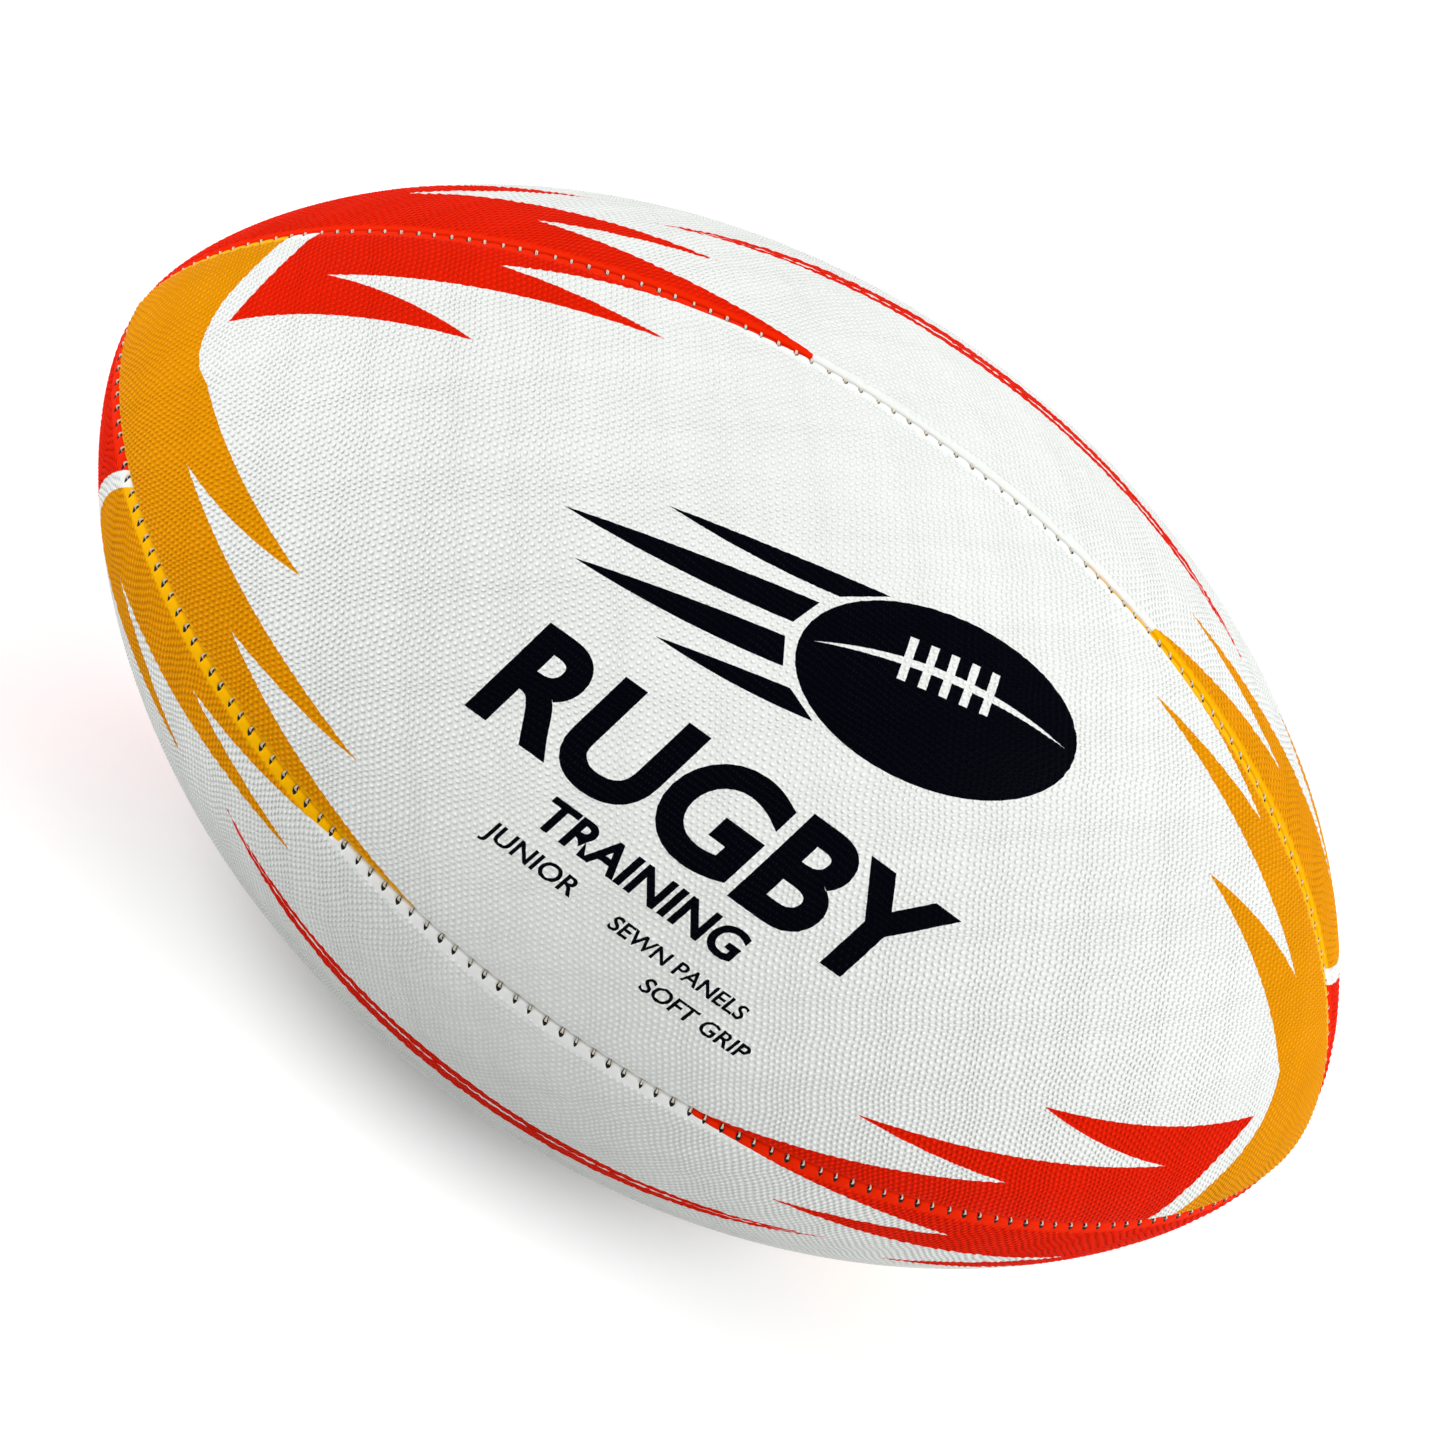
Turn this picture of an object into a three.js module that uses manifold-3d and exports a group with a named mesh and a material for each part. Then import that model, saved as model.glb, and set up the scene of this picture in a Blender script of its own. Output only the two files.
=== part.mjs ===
// Rugby ball, size 4, lying on its side. Millimetres, long axis along X, floor below along -Z.
// Four rubber cover panels backed by cloth plies, laced seams, a bladder and a plug valve.
import * as THREE from "three";
import { mergeVertices } from "three/addons/utils/BufferGeometryUtils.js";
import Module from "manifold-3d";

// Size and outline of the inflated ball
const HALF_LENGTH = 140;
const GREATEST_RADIUS = 88.4;
const OUTLINE_POWER = 2.05;
const OUTLINE_ROUNDING = 0.62;
const POLE_OPENING_RADIUS = 2.5;

// Grid that every layer shares, so that neighbouring layers stay parallel
const STATIONS = 24;
const COLUMNS = 8;

// Panels and seams
const PANELS = { front: 33.75, top: 123.75, back: 213.75, under: 303.75 };
const SEAMS = { front_top: 78.75, back_top: 168.75, back_under: 258.75, front_under: 348.75 };
const SEAM_HALF_GAP = 0.7;

// Depths of each layer below the ball's outer face
const COVER_THICKNESS = 1.2;
const PLY_THICKNESS = 0.4;
const LAYER_GAP = 0.25;
const BLADDER_THICKNESS = 1.0;
const PLIES = ["outer", "middle", "inner"];

// Seam thread
const THREAD_RADIUS = 0.4;
const THREAD_DEPTH = 0.9;
const THREAD_SIDES = 8;

// Valve, on the middle of the back panel
const VALVE_ANGLE = PANELS.back;
const STEM_RADIUS = 4.5;
const STEM_HOLE_RADIUS = 4.8;
const STEM_END_DEPTH = 20;
const FLANGE_RADIUS = 12;
const FLANGE_SLOPE = 0.135;
const FLANGE_THICKNESS = 1.4;
const BORE_RADIUS = 2.1;
const PLUG_RADIUS = 1.95;
const HEAD_RADIUS = 3.1;
const HEAD_SEAT_RADIUS = 3.3;
const HEAD_THICKNESS = 1.1;
const VALVE_TOP_DEPTH = 0.35;
const NEEDLE_HOLE_RADIUS = 0.6;
const NEEDLE_HOLE_DEPTH = 9;
const PLUG_LENGTH = 16;
const VALVE_SIDES = 24;

const wasm = await Module();
wasm.setup();

const coverRubber = makeMaterial("#f1efea", 0.5);
const plyCloth = makeMaterial("#d9d0b8", 0.9);
const threadFibre = makeMaterial("#e9e2d0", 0.7);
const bladderRubber = makeMaterial("#1d1d1f", 0.45);
const valveRubber = makeMaterial("#2b2b2d", 0.55);
const plugRubber = makeMaterial("#b9b7b0", 0.5);
const patchCloth = makeMaterial("#8f8a7c", 0.9);

function makeMaterial(color, roughness) {
  return new THREE.MeshStandardMaterial({ color, roughness, metalness: 0 });
}

function radians(degrees) {
  return (degrees * Math.PI) / 180;
}

// Radius of the ball's outer face at t, where t runs from -1 at one pole to 1 at the other.
function outlineRadius(t) {
  return GREATEST_RADIUS * (1 - Math.abs(t) ** OUTLINE_POWER) ** OUTLINE_ROUNDING;
}

// Position along the ball at which the outline has the given radius.
function stationAtRadius(radius) {
  const share = (radius / GREATEST_RADIUS) ** (1 / OUTLINE_ROUNDING);
  return (1 - share) ** (1 / OUTLINE_POWER);
}

// Outward direction of the outline at t, as its share along X and its share along the radius.
function outlineNormal(t) {
  const step = 1e-5;
  const rise = outlineRadius(t + step) - outlineRadius(t - step);
  const run = 2 * step * HALF_LENGTH;
  const length = Math.hypot(rise, run);
  return { along: -rise / length, outward: run / length };
}

// Unit direction away from the long axis; 0 degrees faces -Y and 90 degrees faces +Z.
function radialDirection(angle) {
  return new THREE.Vector3(0, -Math.cos(radians(angle)), Math.sin(radians(angle)));
}

// Point at the given station, angle and depth below the outer face.
function ballPoint(t, angle, depth) {
  const normal = outlineNormal(t);
  const radius = outlineRadius(t) - depth * normal.outward;
  const point = radialDirection(angle).multiplyScalar(radius);
  point.x = HALF_LENGTH * t - depth * normal.along;
  return point;
}

// Stations from pole to pole, closer together near the poles where the outline bends most.
function makeStations() {
  const last = Math.asin(stationAtRadius(POLE_OPENING_RADIUS));
  const stations = [];
  for (let i = 0; i <= STATIONS; i += 1) {
    stations.push(Math.sin(last * ((2 * i) / STATIONS - 1)));
  }
  return stations;
}

const stations = makeStations();

// Angle of a column of a panel, which keeps the seam gap equally wide from pole to pole.
function columnAngle(centre, t, column) {
  const gapAngle = (Math.asin(SEAM_HALF_GAP / outlineRadius(t)) * 180) / Math.PI;
  return centre + (45 - gapAngle) * ((2 * column) / COLUMNS - 1);
}

function geometryFrom(points, faces) {
  const geometry = new THREE.BufferGeometry();
  const positions = points.flatMap((point) => [point.x, point.y, point.z]);
  geometry.setAttribute("position", new THREE.Float32BufferAttribute(positions, 3));
  geometry.setIndex(faces.flat());
  geometry.computeVertexNormals();
  return geometry;
}

// Closed curved sheet over part of a panel: an outer face, an inner face and four edges.
function panelSheet(centre, rows, columns, outerDepth, innerDepth) {
  const points = [];
  const faces = [];
  const wide = columns.length;
  for (const depth of [outerDepth, innerDepth]) {
    for (const row of rows) {
      for (const column of columns) {
        points.push(ballPoint(row, columnAngle(centre, row, column), depth));
      }
    }
  }
  const inner = rows.length * wide;
  const quad = (a, b, c, d) => faces.push([a, b, c], [a, c, d]);
  for (let i = 0; i + 1 < rows.length; i += 1) {
    for (let j = 0; j + 1 < wide; j += 1) {
      const a = i * wide + j;
      quad(a, a + wide, a + wide + 1, a + 1);
      quad(inner + a, inner + a + 1, inner + a + wide + 1, inner + a + wide);
    }
    const left = i * wide;
    const right = left + wide - 1;
    quad(left, inner + left, inner + left + wide, left + wide);
    quad(right + wide, inner + right + wide, inner + right, right);
  }
  const end = (rows.length - 1) * wide;
  for (let j = 0; j + 1 < wide; j += 1) {
    quad(j + 1, inner + j + 1, inner + j, j);
    quad(end + j, inner + end + j, inner + end + j + 1, end + j + 1);
  }
  return geometryFrom(points, faces);
}

// Closed egg-shaped solid that fills the ball below the given depth.
function ballSolid(depth) {
  const around = 4 * COLUMNS;
  const rows = stations.slice(1, -1);
  const points = [];
  const faces = [];
  for (const row of rows) {
    for (let j = 0; j < around; j += 1) {
      points.push(ballPoint(row, PANELS.front + (360 * j) / around, depth));
    }
  }
  for (let i = 0; i + 1 < rows.length; i += 1) {
    for (let j = 0; j < around; j += 1) {
      const a = i * around + j;
      const b = i * around + ((j + 1) % around);
      faces.push([a, a + around, b + around], [a, b + around, b]);
    }
  }
  const first = points.length;
  const poleX = HALF_LENGTH - depth - 1.2;
  points.push(new THREE.Vector3(-poleX, 0, 0), new THREE.Vector3(poleX, 0, 0));
  const lastRow = (rows.length - 1) * around;
  for (let j = 0; j < around; j += 1) {
    const next = (j + 1) % around;
    faces.push([first, j, next], [first + 1, lastRow + next, lastRow + j]);
  }
  return geometryFrom(points, faces);
}

// Solid turned about the valve's axis; each profile point is a radius and a depth.
function valveTurning(profile) {
  const points = profile.map(([radius, depth]) => new THREE.Vector2(radius, GREATEST_RADIUS - depth));
  const geometry = new THREE.LatheGeometry(points.reverse(), VALVE_SIDES);
  const turn = new THREE.Quaternion();
  turn.setFromUnitVectors(new THREE.Vector3(0, 1, 0), radialDirection(VALVE_ANGLE));
  geometry.applyQuaternion(turn);
  return geometry;
}

function toManifold(geometry) {
  const plain = geometry.clone();
  plain.deleteAttribute("normal");
  plain.deleteAttribute("uv");
  const merged = mergeVertices(plain, 1e-4);
  const mesh = new wasm.Mesh({
    numProp: 3,
    vertProperties: new Float32Array(merged.attributes.position.array),
    triVerts: new Uint32Array(merged.index.array),
  });
  mesh.merge();
  return new wasm.Manifold(mesh);
}

function fromManifold(solid) {
  const mesh = solid.getMesh();
  const geometry = new THREE.BufferGeometry();
  geometry.setAttribute("position", new THREE.Float32BufferAttribute(mesh.vertProperties, 3));
  geometry.setIndex(Array.from(mesh.triVerts));
  geometry.computeVertexNormals();
  return geometry;
}

// Cutter for the hole that the valve's stem passes through.
function stemHoleCutter() {
  return toManifold(valveTurning([[0, -3], [STEM_HOLE_RADIUS, -3], [STEM_HOLE_RADIUS, 10], [0, 10]]));
}

function withStemHole(geometry) {
  return fromManifold(toManifold(geometry).subtract(stemHoleCutter()));
}

// Start depth of a cloth ply: 0 is the ply next to the cover.
function plyDepth(index) {
  return COVER_THICKNESS + LAYER_GAP + index * (PLY_THICKNESS + LAYER_GAP);
}

const PATCH_DEPTH = plyDepth(PLIES.length);
const BLADDER_DEPTH = PATCH_DEPTH + PLY_THICKNESS + LAYER_GAP;
const BLADDER_INSIDE_DEPTH = BLADDER_DEPTH + BLADDER_THICKNESS;

function allColumns() {
  return Array.from({ length: COLUMNS + 1 }, (unused, column) => column);
}

function coverGeometry(side) {
  return panelSheet(PANELS[side], stations, allColumns(), 0, COVER_THICKNESS);
}

function plyGeometry(side, index) {
  const start = plyDepth(index);
  return panelSheet(PANELS[side], stations.slice(1, -1), allColumns(), start, start + PLY_THICKNESS);
}

// Square cloth patch behind the panel, around the valve.
function patchGeometry() {
  const middleRow = STATIONS / 2;
  const middleColumn = COLUMNS / 2;
  const rows = stations.slice(middleRow - 1, middleRow + 2);
  const columns = [middleColumn - 1, middleColumn, middleColumn + 1];
  return panelSheet(VALVE_ANGLE, rows, columns, PATCH_DEPTH, PATCH_DEPTH + PLY_THICKNESS);
}

// Thread laid along a seam, down in the gap between two covers.
function threadGeometry(angle) {
  const points = [];
  const faces = [];
  const across = new THREE.Vector3(0, Math.sin(radians(angle)), Math.cos(radians(angle)));
  for (const t of stations) {
    const centre = ballPoint(t, angle, THREAD_DEPTH);
    const up = ballPoint(t, angle, 0).sub(centre).normalize();
    for (let j = 0; j < THREAD_SIDES; j += 1) {
      const turn = (2 * Math.PI * j) / THREAD_SIDES;
      const point = centre.clone();
      point.addScaledVector(across, THREAD_RADIUS * Math.cos(turn));
      point.addScaledVector(up, THREAD_RADIUS * Math.sin(turn));
      points.push(point);
    }
  }
  for (let i = 0; i + 1 < stations.length; i += 1) {
    for (let j = 0; j < THREAD_SIDES; j += 1) {
      const a = i * THREAD_SIDES + j;
      const b = i * THREAD_SIDES + ((j + 1) % THREAD_SIDES);
      faces.push([a, b + THREAD_SIDES, a + THREAD_SIDES], [a, b, b + THREAD_SIDES]);
    }
  }
  const last = (stations.length - 1) * THREAD_SIDES;
  for (let j = 1; j + 1 < THREAD_SIDES; j += 1) {
    faces.push([0, j + 1, j], [last, last + j, last + j + 1]);
  }
  return geometryFrom(points, faces);
}

function bladderGeometry() {
  const wall = toManifold(ballSolid(BLADDER_DEPTH)).subtract(toManifold(ballSolid(BLADDER_INSIDE_DEPTH)));
  return fromManifold(wall.subtract(stemHoleCutter()));
}

// Moulded valve body: a stem with a seat and a bore for the plug, on a dished flange inside the bladder.
function housingGeometry() {
  const flangeTop = (radius) => BLADDER_INSIDE_DEPTH + LAYER_GAP + FLANGE_SLOPE * radius;
  const seatDepth = VALVE_TOP_DEPTH + HEAD_THICKNESS + 0.1;
  return valveTurning([
    [HEAD_SEAT_RADIUS, VALVE_TOP_DEPTH],
    [STEM_RADIUS, VALVE_TOP_DEPTH],
    [STEM_RADIUS, flangeTop(STEM_RADIUS)],
    [FLANGE_RADIUS, flangeTop(FLANGE_RADIUS)],
    [FLANGE_RADIUS, flangeTop(FLANGE_RADIUS) + 0.4],
    [STEM_RADIUS, flangeTop(STEM_RADIUS) + FLANGE_THICKNESS],
    [STEM_RADIUS - 0.7, STEM_END_DEPTH],
    [BORE_RADIUS, STEM_END_DEPTH],
    [BORE_RADIUS, seatDepth],
    [HEAD_SEAT_RADIUS, seatDepth],
    [HEAD_SEAT_RADIUS, VALVE_TOP_DEPTH],
  ]);
}

// Removable plug: a flat head, a long shaft and a blind guide hole for the pump's needle.
function plugGeometry() {
  const headUnder = VALVE_TOP_DEPTH + HEAD_THICKNESS;
  return valveTurning([
    [0, VALVE_TOP_DEPTH + NEEDLE_HOLE_DEPTH],
    [NEEDLE_HOLE_RADIUS, VALVE_TOP_DEPTH + NEEDLE_HOLE_DEPTH],
    [NEEDLE_HOLE_RADIUS, VALVE_TOP_DEPTH],
    [HEAD_RADIUS, VALVE_TOP_DEPTH],
    [HEAD_RADIUS, headUnder],
    [PLUG_RADIUS, headUnder],
    [PLUG_RADIUS, PLUG_LENGTH],
    [0, PLUG_LENGTH + 0.8],
  ]);
}

const ball = new THREE.Group();

function addPiece(name, geometry, material) {
  const mesh = new THREE.Mesh(geometry, material);
  mesh.name = name;
  ball.add(mesh);
}

function addPanelPiece(name, side, geometry, material) {
  const hasValve = PANELS[side] === VALVE_ANGLE;
  addPiece(`${name}_${side}`, hasValve ? withStemHole(geometry) : geometry, material);
}

for (const side of Object.keys(PANELS)) {
  addPanelPiece("cover", side, coverGeometry(side), coverRubber);
  PLIES.forEach((ply, index) => {
    addPanelPiece(`ply_${ply}`, side, plyGeometry(side, index), plyCloth);
  });
}
for (const [seam, angle] of Object.entries(SEAMS)) {
  addPiece(`seam_thread_${seam}`, threadGeometry(angle), threadFibre);
}
addPiece("bladder", bladderGeometry(), bladderRubber);
addPiece("valve_patch", withStemHole(patchGeometry()), patchCloth);
addPiece("valve_housing", housingGeometry(), valveRubber);
addPiece("valve_plug", plugGeometry(), plugRubber);

export default ball;
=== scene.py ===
import math

import bpy
import numpy as np
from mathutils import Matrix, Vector
from mathutils.geometry import delaunay_2d_cdt


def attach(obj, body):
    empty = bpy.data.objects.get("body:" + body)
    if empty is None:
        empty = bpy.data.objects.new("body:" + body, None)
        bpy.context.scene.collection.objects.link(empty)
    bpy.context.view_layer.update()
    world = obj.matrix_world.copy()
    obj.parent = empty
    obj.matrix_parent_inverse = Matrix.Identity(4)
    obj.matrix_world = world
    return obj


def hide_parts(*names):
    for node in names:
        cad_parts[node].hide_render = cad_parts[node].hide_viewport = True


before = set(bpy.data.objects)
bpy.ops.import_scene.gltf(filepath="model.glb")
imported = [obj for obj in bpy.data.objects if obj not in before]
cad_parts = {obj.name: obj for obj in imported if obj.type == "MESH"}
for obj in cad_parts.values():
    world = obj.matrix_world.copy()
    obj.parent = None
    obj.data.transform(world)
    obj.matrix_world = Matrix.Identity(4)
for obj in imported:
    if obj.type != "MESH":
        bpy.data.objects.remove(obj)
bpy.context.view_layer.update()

# The looks of a size 4 rugby ball. Lengths are in millimetres until a mesh is made, then metres.
# A place on the ball is given by `along`, the distance from the middle towards +X measured over the
# surface, and an angle about the long axis: 0 degrees faces -Y and 90 degrees faces +Z.
# On a panel, `up` is the distance over the surface from the panel's centre line, towards larger angles.

MM = 0.001

# Outline of the ball
HALF_LENGTH = 140.0
GREATEST_RADIUS = 88.4
OUTLINE_POWER = 2.05
OUTLINE_ROUNDING = 0.62

# Panels and the seams between them, by the angle of their middle
PANELS = {"front": 33.75, "top": 123.75, "back": 213.75, "under": 303.75}
SEAMS = {"front_top": 78.75, "back_top": 168.75, "back_under": 258.75, "front_under": 348.75}
PANEL_SPREAD = math.pi / 4

# Where pieces end near the ball's tips, by the ball's radius there
TIP_RADIUS = 0.35
BARE_TIP_RADIUS = 3.6
THREAD_TIP_RADIUS = 1.2
PLY_TIP_RADIUS = 9.0
BLADDER_TIP_RADIUS = 0.6

# Grip pimples, in rows with every other row moved by half a step
PIMPLE_STEP = 1.31
ROW_STEP = PIMPLE_STEP * math.sqrt(3) / 2
PIMPLE_HEIGHT = 0.3
PIMPLE_FREE_BELOW = 2.1
PIMPLE_FREE_ABOVE = 0.8

# Waves that make the pimple rows uneven: sideways movement, and radians for each mm along and up
ROW_WAVES = [(0.3, 0.31, 0.19), (0.14, -0.42, 0.55), (0.08, 0.9, 0.74)]

# Panel edge: distance from the seam and how deep the rubber lies there
EDGE_PROFILE = [
    (0.12, 1.7), (0.17, 1.0), (0.28, 0.5), (0.45, 0.24), (0.75, 0.12), (1.1, 0.06), (1.6, 0.02), (2.2, 0.0),
]
EDGE_STEP = 0.36

# The cover sinks a little towards a seam, and a little more where a stitch pulls it down
SEAM_SINK = 0.35
SEAM_SINK_REACH = 5.0
STITCH_PULL = 0.16
STITCH_PULL_ALONG = 0.9
STITCH_PULL_ASIDE = 1.5

# Stitches. Each strand is given by how far it bows aside and how deep its highest point lies. A lean
# above 1 puts that point nearer to the seam.
STITCH_STEP = 3.4
STITCH_LAST = 171.0
HOLE_MIDDLE = 0.95
HOLE_HALF_LENGTH = 0.98
HOLE_HALF_WIDTH = 0.46
HOLE_DEPTH = 1.5
HOLE_SLANT = 0.25
THREAD_RADIUS = 0.11
STRANDS = [(-0.08, 0.34), (0.17, 0.42)]
STRAND_LEAN = 1.8
CORE_DEPTH = 1.7
CORE_RADIUS = 0.25

# Layers below the cover
COVER_THICKNESS = 1.2
PLY_THICKNESS = 0.4
LAYER_GAP = 0.25
PLIES = ["outer", "middle", "inner"]
PLY_SEAM_GAP = 0.7
PATCH_HALF_WIDTH = 21
BLADDER_DEPTH = 4.05
BLADDER_THICKNESS = 1.0
BLADDER_RIDGE = 0.15

# Valve
VALVE_SIDE = "back"
VALVE_HOLE_RADIUS = 4.8
VALVE_HOLE_SIDES = 48
VALVE_RIM = [(4.72, 1.4), (4.8, 0.5), (5.0, 0.18), (5.5, 0.04), (6.1, 0.0)]
VALVE_SIDES = 64

# The four curves of a flame's edge, each by its start, middle and end
FLAME = [
    ((-133, 4), (-112, 17.5), (-83.8, 26.2)),
    ((-83.8, 26.2), (-101.5, 27), (-119.2, 22)),
    ((-119.2, 22), (-88, 39), (-54.6, 48.7)),
    ((-54.6, 48.7), (-71, 47.9), (-89.2, 43.5)),
]

# How far the flames are moved up at the left and right ends, and the same where red and amber are swapped
LIFTS = (1.35, 2.6)
SWAPPED_LIFTS = (1.0, 0.5)

# Slim blades along a seam: how far each bows towards it, and how thick it is
SEAM_BLADES = [(3.2, 2.8), (7.6, 4.6)]

# Printed words: text, width, middle as (along, up), and how much the strokes are thickened
WORDS = [
    ("RUGBY", 92, 1, -16, 0.035),
    ("TRAINING", 42, -2, -33, 0.03),
    ("JUNIOR", 19, -20, -42.5, 0.02),
    ("SEWN PANELS", 29, 12, -42.5, 0.02),
    ("SOFT GRIP", 23, 20, -49, 0.02),
]
LETTER_SLANT = 0.18

# Smaller loops, in squares of the font size, are slivers where thickened strokes overlap
LEAST_LETTER_AREA = 0.002

# How far the badge and the words are moved apart on the valve's side
VALVE_PRINT_GAP = 5.0

# What a panel's faces can be, in the order of its materials, and the printed colours as linear light; the
# hole finish is a near-black painted shade inside the stitch holes
FINISHES = ["white", "red", "amber", "ink", "hole"]
WHITE = (0.80, 0.82, 0.795)
RED = (0.82, 0.013, 0.0)
AMBER = (0.80, 0.30, 0.0)
INK = (0.0005, 0.001, 0.003)

# Studio: half the floor's width and the softboxes' size in metres, and the strength of the light all round
FLOOR_REACH = 2.0
SOFTBOX_SIZE = 1.2
ROOM_LIGHT = 0.53

# Camera: lens in millimetres, place in metres and turn in degrees
CAMERA_LENS = 83.9
CAMERA_PLACE = (-0.0491, -0.5605, 0.3450)
CAMERA_TURN = (51.953, -32.176, 17.739)


# ---------------------------------------------------------------- the ball's surface

def outline_radius(t):
    return GREATEST_RADIUS * (1 - np.abs(t) ** OUTLINE_POWER) ** OUTLINE_ROUNDING


def surface_table():
    """The outline as arrays: distance over the surface, position along X, radius and outward direction."""
    t = np.sin(np.linspace(-math.pi / 2, math.pi / 2, 6001))
    x = HALF_LENGTH * t
    radius = outline_radius(np.clip(t, -1, 1))
    steps = np.hypot(np.diff(x), np.diff(radius))
    along = np.concatenate([[0], np.cumsum(steps)])
    along -= along[-1] / 2
    rise = np.gradient(radius, along)
    run = np.gradient(x, along)
    size = np.hypot(rise, run)
    return along, x, radius, -rise / size, run / size


ALONG, X_AT, RADIUS_AT, NORMAL_X_AT, NORMAL_R_AT = surface_table()


def radius_at(along):
    return np.interp(along, ALONG, RADIUS_AT)


def tip_along(radius):
    """Distance from the middle to where the ball has narrowed to the given radius."""
    half = ALONG > 0
    return float(np.interp(-radius, -RADIUS_AT[half], ALONG[half]))


def ball_points(along, angle, depth):
    """Points in metres; angle in radians."""
    along, angle, depth = np.broadcast_arrays(along, angle, depth)
    radius = radius_at(along) - depth * np.interp(along, ALONG, NORMAL_R_AT)
    x = np.interp(along, ALONG, X_AT) - depth * np.interp(along, ALONG, NORMAL_X_AT)
    points = np.stack([x, -radius * np.cos(angle), radius * np.sin(angle)], axis=-1)
    return points * MM


def panel_points(side, along, up, depth):
    angle = math.radians(PANELS[side]) + up / np.maximum(radius_at(along), 1e-3)
    return ball_points(along, angle, depth)


def full_turn(count):
    """Angles of a whole turn in even steps, without its last point."""
    return np.arange(count) * 2 * math.pi / count


def seam_distance(along, up):
    """Distance over the surface to the nearer seam of a panel."""
    return PANEL_SPREAD * radius_at(along) - np.abs(up)


# ---------------------------------------------------------------- relief of a panel

def smooth_step(low, high, value):
    share = np.clip((value - low) / (high - low), 0, 1)
    return share * share * (3 - 2 * share)


def row_shift(along, up):
    """How far the uneven rows are moved, as (along, up), from their place in even rows."""
    shift = np.zeros((2, *np.shape(along)))
    for size, by_along, by_up in ROW_WAVES:
        shift[0] += size * np.sin(by_along * along + by_up * up)
        shift[1] += size * np.cos(by_up * along - by_along * up)
    return shift


def even_rows_place(along, up):
    """The place that a point of a panel had before the rows were made uneven."""
    place = np.array([along, up])
    for _ in range(6):
        place = np.array([along, up]) - row_shift(*place)
    return place


def pimple_height(along, up):
    """Height of the domed grip pimples, from 0 in the valleys to 1 on the tops."""
    along, up = even_rows_place(along, up)
    nearest = np.full(np.shape(along), np.inf)
    base = np.round(up / ROW_STEP)
    for shift in (-1, 0, 1):
        row = base + shift
        offset = np.where(row % 2 == 0, 0.0, PIMPLE_STEP / 2)
        column = np.round((along - offset) / PIMPLE_STEP)
        away = np.hypot(along - offset - column * PIMPLE_STEP, up - row * ROW_STEP)
        nearest = np.minimum(nearest, away)
    return np.clip(1 - (nearest / (PIMPLE_STEP / math.sqrt(3))) ** 2, 0, 1)


def stitch_numbers():
    count = math.floor(STITCH_LAST / STITCH_STEP)
    return np.arange(-count, count + 1)


def stitch_place(number):
    """Where along a seam a stitch lies; hand sewing makes the steps a little uneven."""
    return STITCH_STEP * (number + 0.05 * np.sin(2.3 * number))


def stitch_size(number):
    return 1 + 0.22 * np.sin(1.7 * number + 0.6)


def nearest_stitch(along):
    """Number of the nearest stitch and the distance from it along the seam."""
    last = stitch_numbers()[-1]
    number = np.clip(np.round(along / STITCH_STEP), -last, last)
    return number, along - stitch_place(number)


def hole_share(along, below):
    """How far inside a stitch hole a point is, from 0 at its rim to 1; below counts from the seam."""
    number, offset = nearest_stitch(along)
    past = below - HOLE_MIDDLE
    aside = np.abs(offset - HOLE_SLANT * past) / stitch_size(number)
    return np.clip(1 - aside / HOLE_HALF_WIDTH - (past / HOLE_HALF_LENGTH) ** 2, 0, 1)


def hole_outlines():
    """Pointed outlines of the stitch holes of a panel, along both of its seams."""
    share = np.linspace(-1, 1, 7)
    half = HOLE_HALF_WIDTH * (1 - share ** 2)
    past = HOLE_HALF_LENGTH * np.concatenate([share, share[-2:0:-1]])
    aside = np.concatenate([half, -half[-2:0:-1]])
    outlines = []
    for number in stitch_numbers():
        along = stitch_place(number) + HOLE_SLANT * past + stitch_size(number) * aside
        edge = PANEL_SPREAD * radius_at(along)
        below = past + HOLE_MIDDLE
        outlines.append(np.stack([along, edge - below], axis=1))
        outlines.append(np.stack([along, -edge - below], axis=1))
    return outlines


def below_seam(along, up):
    """Distance past the nearer seam on the side of smaller angles, negative on the other side."""
    return np.where(up > 0, 1, -1) * seam_distance(along, up)


def smooth_band(up):
    """Width of the band without pimples at the nearer seam; it is wider below a seam than above it."""
    return np.where(up > 0, PIMPLE_FREE_BELOW, PIMPLE_FREE_ABOVE)


def covered_share(along, up):
    """0 on the smooth bands along the seams, and 1 where the pimples are."""
    band = smooth_band(up)
    return smooth_step(band, band + 0.8, seam_distance(along, up))


def relief_depth(side, along, up):
    """Depth of the cover's face below the smooth ball at each point of a panel."""
    edge = seam_distance(along, up)
    distances, depths = zip(*EDGE_PROFILE)
    depth = np.interp(edge, distances, depths)
    depth = depth + SEAM_SINK * np.exp(-edge / SEAM_SINK_REACH)
    from_stitch = nearest_stitch(along)[1] / STITCH_PULL_ALONG
    depth = depth + STITCH_PULL * np.exp(-from_stitch ** 2 - (edge / STITCH_PULL_ASIDE) ** 2)
    depth = depth + HOLE_DEPTH * np.sqrt(hole_share(along, below_seam(along, up)))
    raised = covered_share(along, up)
    if side == VALVE_SIDE:
        away = np.hypot(along, up)
        radii, depths = zip(*VALVE_RIM)
        depth = depth + np.interp(away, radii, depths)
        raised = raised * smooth_step(radii[-2], radii[-1] + 0.2, away)
    return depth - PIMPLE_HEIGHT * raised * pimple_height(along, up)


# ---------------------------------------------------------------- printed shapes

def bend(start, middle, end, count):
    """Points of a curve that leaves start towards middle and arrives at end, without its last point."""
    share = np.arange(count)[:, None] / count
    start, middle, end = (np.array(p, float) for p in (start, middle, end))
    return (1 - share) ** 2 * start + 2 * share * (1 - share) * middle + share ** 2 * end


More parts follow.
